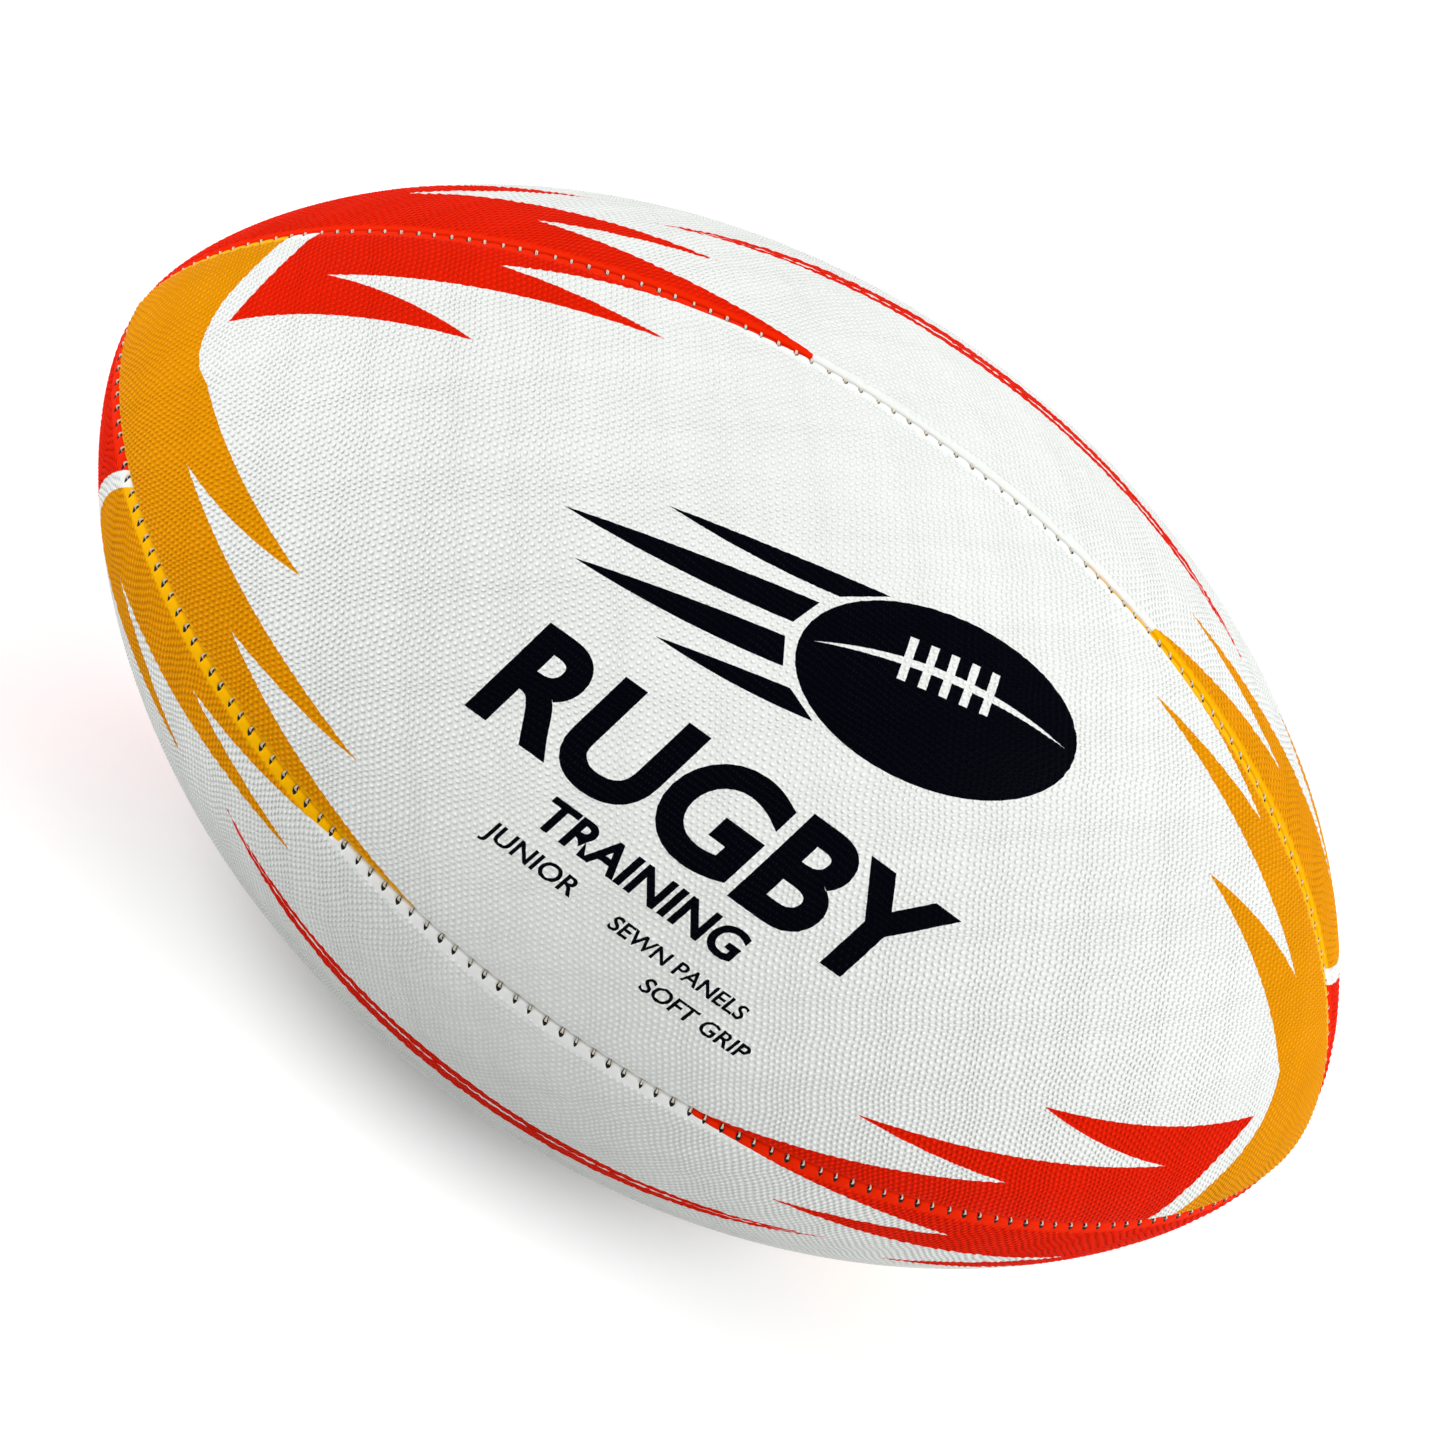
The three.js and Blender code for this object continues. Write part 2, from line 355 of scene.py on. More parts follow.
def flame_edge(waist, last, lift):
    """Edge of three points, moved up by lift; the third bends at waist and meets the seam at last."""
    end = (last, PANEL_SPREAD * float(radius_at(last)) - 0.8 - lift)
    pieces = [*FLAME, (FLAME[-1][2], waist, end)]
    return np.concatenate([bend(*piece, 30) for piece in pieces]) + (0, lift)


def patch_outline(bowed, lift):
    """The three-pointed patch on the left end's upper seam, with a straight or a bowed outer edge."""
    if bowed:
        edge = flame_edge((-66, 55.5), -47.7, lift)
        start, middle = (-127.5, 37.2), (-140.2, 17)
    else:
        edge = flame_edge((-62, 59.5), -33, lift)
        start, middle = (-128.8, 36), (-131.5, 20)
    beyond = [(edge[-1][0] + 3, 80), (start[0], 80), start]
    return np.concatenate([edge, beyond, bend(start, middle, edge[0], 12)])


def wrap_outline(bowed, lift):
    """The print that covers the left tip and runs along the lower seam in three points."""
    if bowed:
        start, middle, end = (-131, 36.3), (-140, 21), (-139.4, 10)
    else:
        start, middle, end = (-134.2, 36), (-137, 22), (-138.3, 10)
    edge = flame_edge((-62, 59.5), -29, lift) * (1, -1)
    beyond = [(-26, -80), (-200, -80), (-200, 80), (start[0], 80), start]
    inner = bend(start, middle, end, 12)
    corner = bend(end, (end[0], -2), (-129.5, -7 - lift), 10)
    first = next(i for i, p in enumerate(edge) if p[0] > -128)
    return np.concatenate([edge[first:], beyond, inner, corner])


def ellipse(centre, reach, tilt, count=48):
    turn = full_turn(count)
    x, y = reach[0] * np.cos(turn), reach[1] * np.sin(turn)
    return turned(np.stack([x, y], axis=1), tilt) + centre


def turned(points, tilt):
    c, s = math.cos(math.radians(tilt)), math.sin(math.radians(tilt))
    return np.asarray(points, float) @ np.array([[c, s], [-s, c]])


def crescent(start, end, rise, thickness, count=24):
    """A thin blade between two points that bows upwards by rise and thins out at both ends."""
    middle = (start[0] + end[0]) / 2
    height = (start[1] + end[1]) / 2
    top = bend(start, (middle, height + 2 * rise + thickness), end, count)
    low = bend(end, (middle, height + 2 * rise - thickness), start, count)
    return np.concatenate([top, low])


def flying_ball(colour, raised):
    """A made-up badge: an oval ball with a laced seam and tapering streaks behind it."""
    centre, tilt, reach = (21, 23 + raised), 14, (27, 15.5)
    shapes = [(ellipse(centre, reach, tilt), colour)]
    seam = crescent((-24.5, 1), (24.5, 1), 3.4, 1.5)
    shapes.append((turned(seam, tilt) + centre, "white"))
    for place in range(-2, 3):
        left, right = place * 4 - 0.8, place * 4 + 0.8
        lace = [(left, 0.6), (right, 0.6), (right, 8.6), (left, 8.6)]
        shapes.append((turned(lace, tilt) + centre, "white"))
    for level, half_width, tip in [(12, 1.9, -56), (5.2, 2.5, -73), (-2.6, 2.5, -68), (-10, 1.9, -50)]:
        roots = []
        for height in (level - half_width, level + half_width):
            roots.append((-reach[0] * math.sqrt(1 - (height / reach[1]) ** 2) - 2.4, height))
        low, high = roots
        end = (tip, level + 1.5)
        low_side = bend(low, ((low[0] + tip) / 2, level - half_width), end, 18)
        high_side = bend(end, ((high[0] + tip) / 2, level + half_width), high, 18)
        blade = np.concatenate([low_side, high_side, [high]])
        shapes.append((turned(blade, tilt) + centre, colour))
    return shapes


def mesh_loops(mesh):
    """Outlines of a flat mesh, each as an array of points, with the mesh on their left."""
    places = {}
    same = [places.setdefault(tuple(round(c, 5) for c in v.co), v.index) for v in mesh.vertices]
    following = {}
    seen = set()
    for face in mesh.polygons:
        corners = [same[i] for i in face.vertices]
        for a, b in zip(corners, corners[1:] + corners[:1]):
            seen.add((a, b))
    for a, b in seen:
        if (b, a) not in seen:
            following.setdefault(a, []).append(b)
    loops = []
    while following:
        first = next(iter(following))
        loop = []
        place = first
        while place in following:
            loop.append(place)
            after = following[place].pop()
            if not following[place]:
                del following[place]
            place = after
        loops.append(np.array([mesh.vertices[i].co[:2] for i in loop]))
    return loops


def signed_area(loop):
    x, y = loop[:, 0], loop[:, 1]
    return 0.5 * float(np.sum(x * np.roll(y, -1) - y * np.roll(x, -1)))


def lettering(words, width, centre, colour, weight):
    """Slanted capital letters, scaled to a width, as outlines with their counters in white."""
    data = bpy.data.curves.new("lettering", "FONT")
    data.body = words
    data.resolution_u = 7
    data.fill_mode = "FRONT"
    data.shear = LETTER_SLANT
    data.offset = weight
    data.align_x = "CENTER"
    data.align_y = "CENTER"
    text = bpy.data.objects.new("lettering", data)
    bpy.context.scene.collection.objects.link(text)
    mesh = text.evaluated_get(bpy.context.evaluated_depsgraph_get()).to_mesh()
    loops = [loop for loop in mesh_loops(mesh) if abs(signed_area(loop)) > LEAST_LETTER_AREA]
    bpy.data.objects.remove(text)
    everything = np.concatenate(loops)
    low, high = everything.min(axis=0), everything.max(axis=0)
    scale = width / (high[0] - low[0])
    shapes = []
    for loop in sorted(loops, key=signed_area, reverse=True):
        placed = (loop - (low + high) / 2) * scale + centre
        gap = np.hypot(*(placed - np.roll(placed, 1, axis=0)).T)
        shapes.append((placed[gap > 0.05], colour if signed_area(loop) > 0 else "white"))
    return shapes


def both_ends(outline, colour):
    """An outline and the same outline turned half way round about the panel's centre."""
    return [(outline, colour), (-outline, colour)]


def seam_strokes():
    """Two slim blades along each long side of a panel."""
    shapes = []
    for rise, thickness in SEAM_BLADES:
        blade = crescent((-71, 36.5), (70, 36.5), -rise, thickness, 40)
        shapes += both_ends(blade, "red")
    return shapes


def prints_of(side):
    """Printed shapes of a panel, in the order they are laid down."""
    swapped = side in ("top", "under")
    wrap, patch = ("red", "amber") if swapped else ("amber", "red")
    left, right = SWAPPED_LIFTS if swapped else LIFTS
    shapes = [(wrap_outline(swapped, -left), wrap), (-wrap_outline(swapped, right), wrap)]
    shapes += [(patch_outline(swapped, left), patch), (-patch_outline(swapped, -right), patch)]
    if swapped:
        return shapes + seam_strokes()
    apart = VALVE_PRINT_GAP if side == VALVE_SIDE else 0
    shapes += flying_ball("ink", apart)
    for words, width, along, up, weight in WORDS:
        shapes += lettering(words, width, (along, up - apart), "ink", weight)
    return shapes


# ---------------------------------------------------------------- panel meshes

def edge_rows():
    """The closed line of a panel's outer edge, and points in lines that follow both of its seams."""
    last = tip_along(TIP_RADIUS)
    rows = []
    for distance, _ in EDGE_PROFILE:
        step = EDGE_STEP if distance < 1.3 else 2 * EDGE_STEP
        along = np.linspace(-last, last, int(2 * last / step) | 1)
        up = PANEL_SPREAD * radius_at(along) - distance
        if distance == EDGE_PROFILE[0][0]:
            upper = np.stack([along, up], axis=1)
            lower = np.stack([along[::-1], -up[::-1]], axis=1)
            border = np.concatenate([lower, upper])
            continue
        inside = up > 0.12
        rows.append(np.stack([along[inside], up[inside]], axis=1))
        if distance < PIMPLE_FREE_ABOVE + 0.4:
            rows.append(np.stack([along[inside], -up[inside]], axis=1))
    return border, np.concatenate(rows)


def pimple_lattice():
    """Pimple tops and the low points between them, over the part of a panel that has pimples."""
    points = []
    rows = math.ceil(PANEL_SPREAD * GREATEST_RADIUS / ROW_STEP)
    columns = math.ceil(ALONG[-1] / PIMPLE_STEP)
    for row in range(-rows, rows + 1):
        offset = PIMPLE_STEP / 2 if row % 2 else 0.0
        tops = np.arange(-columns, columns + 1) * PIMPLE_STEP + offset
        level = row * ROW_STEP
        for shift, rise in ((0, 0), (PIMPLE_STEP / 2, ROW_STEP / 3), (0, 2 * ROW_STEP / 3)):
            points.append(np.stack([tops + shift, np.full(len(tops), level + rise)], axis=1))
    points = np.concatenate(points)
    points = points + row_shift(points[:, 0], points[:, 1]).T
    points = points[np.abs(points[:, 0]) < tip_along(TIP_RADIUS) - 0.3]
    along, up = points.T
    return points[seam_distance(along, up) > smooth_band(up) + 0.6]


def centre_line():
    """Points down the middle of both tips, where a panel is too narrow for pimples."""
    along = np.arange(tip_along(BARE_TIP_RADIUS), tip_along(TIP_RADIUS), 0.5)
    line = np.stack([along, np.zeros(len(along))], axis=1)
    return np.concatenate([line, -line])


def valve_rings():
    return [ellipse((0, 0), (radius, radius), 0) for radius, _ in VALVE_RIM]


def spaced(outline, step=0.9):
    """The closed outline with extra points, so that none of its sides is longer than step."""
    points = []
    for a, b in zip(outline, np.roll(outline, -1, axis=0)):
        count = max(1, math.ceil(np.hypot(*(b - a)) / step))
        points.append(a + (b - a) * np.arange(count)[:, None] / count)
    return np.concatenate(points)


def trimmed(outline):
    """The outline with far points pulled in to just outside the panel."""
    along = np.clip(outline[:, 0], -ALONG[-1] - 4, ALONG[-1] + 4)
    limit = PANEL_SPREAD * radius_at(along) + 4
    return np.stack([along, np.clip(outline[:, 1], -limit, limit)], axis=1)


def clear_of(points, lines, gap):
    """The points that aren't within gap of any point of the finely spaced lines."""
    cells = {}
    for x, y in lines:
        cells.setdefault((int(x // 1), int(y // 1)), []).append((x, y))
    kept = []
    for x, y in points:
        near = False
        for i in (-1, 0, 1):
            for j in (-1, 0, 1):
                for a, b in cells.get((int(x // 1) + i, int(y // 1) + j), ()):
                    if (a - x) ** 2 + (b - y) ** 2 < gap * gap:
                        near = True
        if not near:
            kept.append((x, y))
    return np.array(kept)


def panel_faces(side):
    """Flat triangles of a panel: points as (along, up), corner numbers, and a colour number for each."""
    border, rows = edge_rows()
    loose = np.concatenate([rows, pimple_lattice(), centre_line()])
    outlines = [(border, "white")]
    for outline, colour in prints_of(side):
        outlines.append((trimmed(spaced(outline)), colour))
    if side == VALVE_SIDE:
        rings = valve_rings()
        loose = loose[np.hypot(loose[:, 0], loose[:, 1]) > VALVE_RIM[-1][0] + 0.3]
        loose = np.concatenate([loose, *rings[1:]])
        outlines.append((rings[0], "cut"))
    # The stitch holes get the hole finish, a near-black painted shade.
    outlines += [(outline, "hole") for outline in hole_outlines()]
    drawn = [spaced(outline, 0.2) for outline, colour in outlines[1:]]
    loose = clear_of(loose, np.concatenate(drawn), 0.2)
    points = [Vector(p) for p in loose]
    faces = []
    for outline, colour in outlines:
        first = len(points)
        if signed_area(outline) < 0:
            outline = outline[::-1]
        points += [Vector(p) for p in outline]
        faces.append(list(range(first, len(points))))
    found = delaunay_2d_cdt(points, [], faces, 0, 1e-5, True)
    flat = np.array([tuple(p) for p in found[0]])
    corners, colours = [], []
    for corner, inside in zip(found[2], found[5]):
        if 0 not in inside:
            continue
        colour = outlines[max(inside)][1]
        if colour == "cut":
            continue
        corners.append(corner)
        colours.append(FINISHES.index(colour))
    return flat, np.array(corners), np.array(colours)


def mesh_object(name, points, faces, materials, numbers=None):
    mesh = bpy.data.meshes.new(name)
    mesh.from_pydata([tuple(p) for p in points], [], [tuple(int(i) for i in f) for f in faces])
    for material in materials:
        mesh.materials.append(material)
    if numbers is not None:
        mesh.polygons.foreach_set("material_index", np.asarray(numbers, np.int32))
    mesh.polygons.foreach_set("use_smooth", np.full(len(mesh.polygons), True))
    mesh.update()
    piece = bpy.data.objects.new(name, mesh)
    bpy.context.scene.collection.objects.link(piece)
    return piece


def add_float(piece, name, values):
    attribute = piece.data.attributes.new(name, "FLOAT", "POINT")
    attribute.data.foreach_set("value", np.asarray(values, np.float32))


def add_flat_map(piece, name, flat):
    layer = piece.data.uv_layers.new(name=name)
    index = np.empty(len(piece.data.loops), np.int32)
    piece.data.loops.foreach_get("vertex_index", index)
    layer.data.foreach_set("uv", flat[index].astype(np.float32).ravel())


def build_cover(side, materials):
    flat, corners, colours = panel_faces(side)
    used, corners = np.unique(corners, return_inverse=True)
    flat, corners = flat[used], corners.reshape(-1, 3)
    along, up = flat[:, 0], flat[:, 1]
    points = panel_points(side, along, up, relief_depth(side, along, up))
    piece = mesh_object(f"grip_cover_{side}", points, corners, materials, colours)
    add_float(piece, "bare", 1 - covered_share(along, up))
    spread = np.array([2 * ALONG[-1] + 4, 2 * PANEL_SPREAD * GREATEST_RADIUS + 4])
    add_flat_map(piece, "OFBake", flat / spread + 0.5)
    add_flat_map(piece, "grip", even_rows_place(along, up).T / PIMPLE_STEP)
    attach(piece, "ball")
    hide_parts(f"cover_{side}")
    return piece


# ---------------------------------------------------------------- thread, plies, bladder and valve

def swept(paths, outward, radius, sides):
    """Tubes along paths, an array of tubes x points x 3, with outward vectors of the same shape."""
    tangent = np.gradient(paths, axis=1)
    tangent /= np.linalg.norm(tangent, axis=2, keepdims=True)
    across = np.cross(tangent, outward)
    across /= np.linalg.norm(across, axis=2, keepdims=True)
    upward = np.cross(across, tangent)
    turn = full_turn(sides)
    ring = paths[:, :, None] + radius * (
        np.cos(turn)[:, None] * across[:, :, None] + np.sin(turn)[:, None] * upward[:, :, None]
    )
    tubes, length = paths.shape[:2]
    index = np.arange(tubes * length * sides).reshape(tubes, length, sides)
    after = np.roll(index, -1, axis=2)
    quads = np.stack([index[:, :-1], after[:, :-1], after[:, 1:], index[:, 1:]], axis=-1).reshape(-1, 4)
    return ring.reshape(-1, 3), quads


def thread_tubes(along, angles, depths, radius):
    """Thread that follows each row of places on the ball."""
    paths = ball_points(along, angles, depths)
    outward = ball_points(along, angles, depths - 10.0) - paths
    return swept(paths, outward, radius * MM, 8)


def build_stitches(seam, material):
    """Slanting stitches that rise nearest the seam, joined by a thread along the bottom of its groove."""
    angle = math.radians(SEAMS[seam])
    numbers = stitch_numbers()[:, None]
    share = np.linspace(0, 1, 11)
    turn = math.pi * share
    rise = np.sin(math.pi * share ** STRAND_LEAN)
    past = HOLE_HALF_LENGTH * np.cos(turn)
    last = tip_along(THREAD_TIP_RADIUS)
    run = np.linspace(-last, last, 400)[None, :]
    core_angles, core_depths = np.full(run.shape, angle), np.full(run.shape, CORE_DEPTH)
    points, quads = thread_tubes(run, core_angles, core_depths, CORE_RADIUS)
    for aside, depth in STRANDS:
        along = stitch_place(numbers) + aside * stitch_size(numbers) * np.sin(turn) + HOLE_SLANT * past
        angles = angle - (past + HOLE_MIDDLE) / np.maximum(radius_at(along), 2.0)
        depths = np.broadcast_to(HOLE_DEPTH - (HOLE_DEPTH - depth) * rise, along.shape)
        more_points, more_quads = thread_tubes(along, angles, depths, THREAD_RADIUS)
        quads = np.concatenate([quads, more_quads + len(points)])
        points = np.concatenate([points, more_points])
    piece = mesh_object(f"stitching_{seam}", points, quads, [material])
    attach(piece, "ball")
    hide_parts(f"seam_thread_{seam}")
    return piece


def closed_sheet(along, angles, outer, inner):
    """Points and quads of a curved sheet over a grid, with thickness and closed edges."""
    grid = np.broadcast_to(along[:, None], angles.shape)
    points = np.concatenate([
        ball_points(grid, angles, outer).reshape(-1, 3), ball_points(grid, angles, inner).reshape(-1, 3)
    ])
    rows, columns = angles.shape
    index = np.arange(rows * columns).reshape(rows, columns)
    under = index + rows * columns
    quads = [
        np.stack([index[:-1, :-1], index[1:, :-1], index[1:, 1:], index[:-1, 1:]], axis=-1).reshape(-1, 4),
        np.stack([under[:-1, :-1], under[:-1, 1:], under[1:, 1:], under[1:, :-1]], axis=-1).reshape(-1, 4),
    ]
    rim = np.concatenate([index[0, :-1], index[:-1, -1], index[-1, :0:-1], index[:0:-1, 0]])
    after = np.roll(rim, -1)
    quads.append(np.stack([rim, after, after + rows * columns, rim + rows * columns], axis=-1))
    return points, np.concatenate(quads)


def cut_valve_hole(piece):
    """Cuts the hole for the valve's stem through a piece."""
    count = VALVE_HOLE_SIDES
    ring = ellipse((0, 0), (VALVE_HOLE_RADIUS, VALVE_HOLE_RADIUS), 0, count)
    normal, across = valve_directions()
    points = []
    for height in (GREATEST_RADIUS + 4, GREATEST_RADIUS - 12):
        for x, y in ring:
            points.append((np.array([x, 0, 0]) + across * y + normal * height) * MM)
    faces = [tuple(range(count)), tuple(range(2 * count - 1, count - 1, -1))]
    for i in range(count):
        after = (i + 1) % count
        faces.append((i, i + count, after + count, after))
    mesh = bpy.data.meshes.new("valve_cutter")
    mesh.from_pydata([tuple(p) for p in points], [], faces)
    cutter = bpy.data.objects.new("valve_cutter", mesh)
    bpy.context.scene.collection.objects.link(cutter)
    cut = piece.modifiers.new("valve hole", "BOOLEAN")
    cut.operation = "DIFFERENCE"
    cut.solver = "EXACT"
    cut.object = cutter
    depsgraph = bpy.context.evaluated_depsgraph_get()
    result = bpy.data.meshes.new_from_object(piece.evaluated_get(depsgraph))
    piece.modifiers.clear()
    piece.data = result
    bpy.data.objects.remove(cutter)


def valve_directions():
    angle = math.radians(PANELS[VALVE_SIDE])
    normal = np.array([0, -math.cos(angle), math.sin(angle)])
    across = np.array([0, math.sin(angle), math.cos(angle)])
    return normal, across


def build_ply(side, number, material):
    depth = COVER_THICKNESS + LAYER_GAP + number * (PLY_THICKNESS + LAYER_GAP)
    last = tip_along(PLY_TIP_RADIUS)
    along = np.linspace(-last, last, 91)
    share = np.linspace(-1, 1, 33)
    spread = PANEL_SPREAD - np.arcsin(PLY_SEAM_GAP / radius_at(along))
    angles = math.radians(PANELS[side]) + spread[:, None] * share
    points, quads = closed_sheet(along, angles, depth, depth + PLY_THICKNESS)
    piece = mesh_object(f"cloth_{PLIES[number]}_{side}", points, quads, [material])
    if side == VALVE_SIDE:
        cut_valve_hole(piece)
    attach(piece, "ball")
    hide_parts(f"ply_{PLIES[number]}_{side}")
    return piece


def build_patch(material):
    along = np.linspace(-PATCH_HALF_WIDTH, PATCH_HALF_WIDTH, 25)
    angles = math.radians(PANELS[VALVE_SIDE]) + along[None, :] / GREATEST_RADIUS
    angles = np.broadcast_to(angles, (len(along), len(along)))
    depth = COVER_THICKNESS + LAYER_GAP + len(PLIES) * (PLY_THICKNESS + LAYER_GAP)
    points, quads = closed_sheet(along, angles, depth, depth + PLY_THICKNESS)
    piece = mesh_object("cloth_valve_patch", points, quads, [material])
    cut_valve_hole(piece)
    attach(piece, "ball")
    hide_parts("valve_patch")
    return piece


def build_bladder(material):
    """Moulded bladder with an outer and an inner face, and a low ridge where the mould's halves met."""
    last = tip_along(BLADDER_TIP_RADIUS)
    along = np.linspace(-last, last, 121)[:, None]
    turn = full_turn(96)[None, :]
    points = []
    for depth, height in ((BLADDER_DEPTH, BLADDER_RIDGE), (BLADDER_DEPTH + BLADDER_THICKNESS, 0)):
        ridge = height * np.exp(-((np.sin(turn) / 0.02) ** 2))
        points.append(ball_points(along, turn, depth - ridge).reshape(-1, 3))
    index = np.arange(along.size * turn.size).reshape(along.size, turn.size)
    after = np.roll(index, -1, axis=1)
    outer = np.stack([index[:-1], index[1:], after[1:], after[:-1]], axis=-1).reshape(-1, 4)
    faces = [tuple(q) for q in outer] + [tuple(q[::-1] + index.size) for q in outer]
    faces += [tuple(index[0]), tuple(index[-1, ::-1])]
    faces += [tuple(index[0, ::-1] + index.size), tuple(index[-1] + index.size)]
    piece = mesh_object("bladder_skin", np.concatenate(points), faces, [material])
    cut_valve_hole(piece)
    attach(piece, "ball")
    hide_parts("bladder")
    return piece


def valve_turning(name, profile, material, node, body):
    """A piece turned about the valve's axis; each profile point is a radius and a depth."""
    normal, across = valve_directions()
    count = VALVE_SIDES
    turn = full_turn(count)
    points = []
    for radius, depth in profile:
        for c, s in zip(np.cos(turn), np.sin(turn)):
            spot = np.array([radius * c, 0, 0]) + across * radius * s + normal * (GREATEST_RADIUS - depth)
            points.append(spot * MM)
    faces = []
    for i in range(len(profile) - 1):
        low, high = i * count, (i + 1) * count
        for j in range(count):
            k = (j + 1) % count
            faces.append((low + j, low + k, high + k, high + j))
    if profile[0] != profile[-1]:
        faces.append(tuple(range(count - 1, -1, -1)))
        faces.append(tuple(range(len(points) - count, len(points))))
    piece = mesh_object(name, points, faces, [material])
    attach(piece, body)
    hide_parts(node)
    return piece


def build_valve(housing_material, plug_material):
    housing = [
        (3.3, 0.6), (3.4, 0.4), (3.6, 0.35), (4.2, 0.35), (4.4, 0.42), (4.5, 0.6), (4.5, 5.6), (4.9, 6.1),
        (8, 6.5), (11.8, 7.0), (12, 7.15), (11.8, 7.35), (8, 7.3), (5.2, 7.5), (4.5, 8.4), (3.9, 19.6),
        (3.6, 20), (2.4, 20), (2.1, 19.7), (2.1, 1.8), (2.3, 1.6), (3.2, 1.55), (3.3, 1.4), (3.3, 0.6),
    ]
    plug = [
        (0.3, 9.3), (0.6, 9.0), (0.6, 0.9), (0.8, 0.75), (1.5, 0.62), (1.7, 0.5), (2.0, 0.42), (2.7, 0.4),
        (2.95, 0.45), (3.1, 0.6), (3.1, 1.3), (3.0, 1.42), (2.1, 1.45), (1.95, 1.6), (1.95, 14.8),
        (1.7, 15.6), (0.8, 16.4), (0.3, 16.6),
    ]
    valve_turning("valve_stem", housing, housing_material, "valve_housing", "ball")
    valve_turning("valve_insert", plug, plug_material, "valve_plug", "plug")


# ---------------------------------------------------------------- materials

def new_group(name, inputs, outputs):
    group = bpy.data.node_groups.new(name, "ShaderNodeTree")
    for title, value in inputs:
        socket = group.interface.new_socket(title, in_out="INPUT", socket_type="NodeSocketFloat")
        socket.default_value = value
    for title in outputs:
        group.interface.new_socket(title, in_out="OUTPUT", socket_type="NodeSocketFloat")
    return group, group.nodes.new("NodeGroupInput"), group.nodes.new("NodeGroupOutput")


def add_math(tree, operation, first, second, clamp=False):
    node = tree.nodes.new("ShaderNodeMath")
    node.operation = operation
    node.use_clamp = clamp
    for socket, value in zip(node.inputs, (first, second)):
        if isinstance(value, bpy.types.NodeSocket):
            tree.links.new(value, socket)
        else:
            socket.default_value = value
    return node.outputs[0]


def add_noise(tree, vector, scale, detail, roughness=0.5):
    node = tree.nodes.new("ShaderNodeTexNoise")
    tree.links.new(vector, node.inputs["Vector"])
    node.inputs["Scale"].default_value = scale
    node.inputs["Detail"].default_value = detail
    node.inputs["Roughness"].default_value = roughness
    return node.outputs["Fac"]


def vector_math(tree, operation, first, second=None):
    node = tree.nodes.new("ShaderNodeVectorMath")
    node.operation = operation
    tree.links.new(first, node.inputs[0])
    if second is not None:
        node.inputs[1].default_value = second
    return node.outputs["Value"] if operation == "LENGTH" else node.outputs["Vector"]


def nearest_pimple(tree):
    """Distance to the middle of the nearest pimple, in steps from one pimple to the next."""
    flat = tree.nodes.new("ShaderNodeUVMap")
    flat.uv_map = "grip"
    wide = math.sqrt(3)
    cells = vector_math(tree, "MULTIPLY", flat.outputs["UV"], (1, 1 / wide, 0))
    distances = []
    for start in ((0.5, 0.5, 0), (0, 0, 0)):
        part = vector_math(tree, "FRACTION", vector_math(tree, "ADD", cells, start))
        part = vector_math(tree, "SUBTRACT", part, (0.5, 0.5, 0))
        distances.append(vector_math(tree, "LENGTH", vector_math(tree, "MULTIPLY", part, (1, wide, 0))))
    return add_math(tree, "MINIMUM", *distances)


def ramp(tree, value, low, high):
    """A smooth rise from 0 at low to 1 at high, or a fall if low is the larger."""
    node = tree.nodes.new("ShaderNodeMapRange")
    node.interpolation_type = "SMOOTHSTEP"
    tree.links.new(value, node.inputs["Value"])
    node.inputs["From Min"].default_value = min(low, high)
    node.inputs["From Max"].default_value = max(low, high)
    node.inputs["To Min"].default_value = float(low > high)
    node.inputs["To Max"].default_value = float(high > low)
    return node.outputs["Result"]


def rubber_surface_group():
    """Domed pimples with fine rubber grain, faint scuffs, and painted shade that darkens the valleys
    between pimples unevenly.
    """
    inputs = [("Painted Valley Shade", 0.1), ("Base Roughness", 0.45)]
    group, given, result = new_group("rubber surface", inputs, ["Height", "Shade", "Roughness"])
    place = group.nodes.new("ShaderNodeTexCoord").outputs["Object"]
    grain = add_noise(group, place, 2600, 3, 0.6)
    patches = add_noise(group, place, 22, 4, 0.55)
    scuffs = add_noise(group, place, 160, 5, 0.7)
    bare = group.nodes.new("ShaderNodeAttribute")
    bare.attribute_name = "bare"
    covered = add_math(group, "SUBTRACT", 1.0, bare.outputs["Fac"], True)
    dome = ramp(group, nearest_pimple(group), 0.42, 0.1)
    dome = add_math(group, "MULTIPLY", dome, covered)
    height = add_math(group, "ADD", dome, add_math(group, "MULTIPLY", grain, 0.08))
    valley = add_math(group, "SUBTRACT", covered, dome)
    uneven = add_math(group, "ADD", patches, 0.5)
    # Painted shade: the colour is darkened in the valleys between pimples, more in some patches than in
    # others.
    painted_valley_shade = add_math(group, "MULTIPLY", add_math(group, "MULTIPLY", valley, uneven), given.outputs["Painted Valley Shade"])
    spread = add_math(group, "MULTIPLY", add_math(group, "SUBTRACT", scuffs, 0.5), 0.05)
    shade = add_math(group, "ADD", add_math(group, "SUBTRACT", 1.0, painted_valley_shade), spread)
    rough = add_math(group, "MULTIPLY", add_math(group, "SUBTRACT", scuffs, 0.5), 0.3)
    rough = add_math(group, "ADD", rough, given.outputs["Base Roughness"])
    rough = add_math(group, "ADD", rough, add_math(group, "MULTIPLY", dome, -0.06), True)
    group.links.new(height, result.inputs["Height"])
    group.links.new(shade, result.inputs["Shade"])
    group.links.new(rough, result.inputs["Roughness"])
    return group


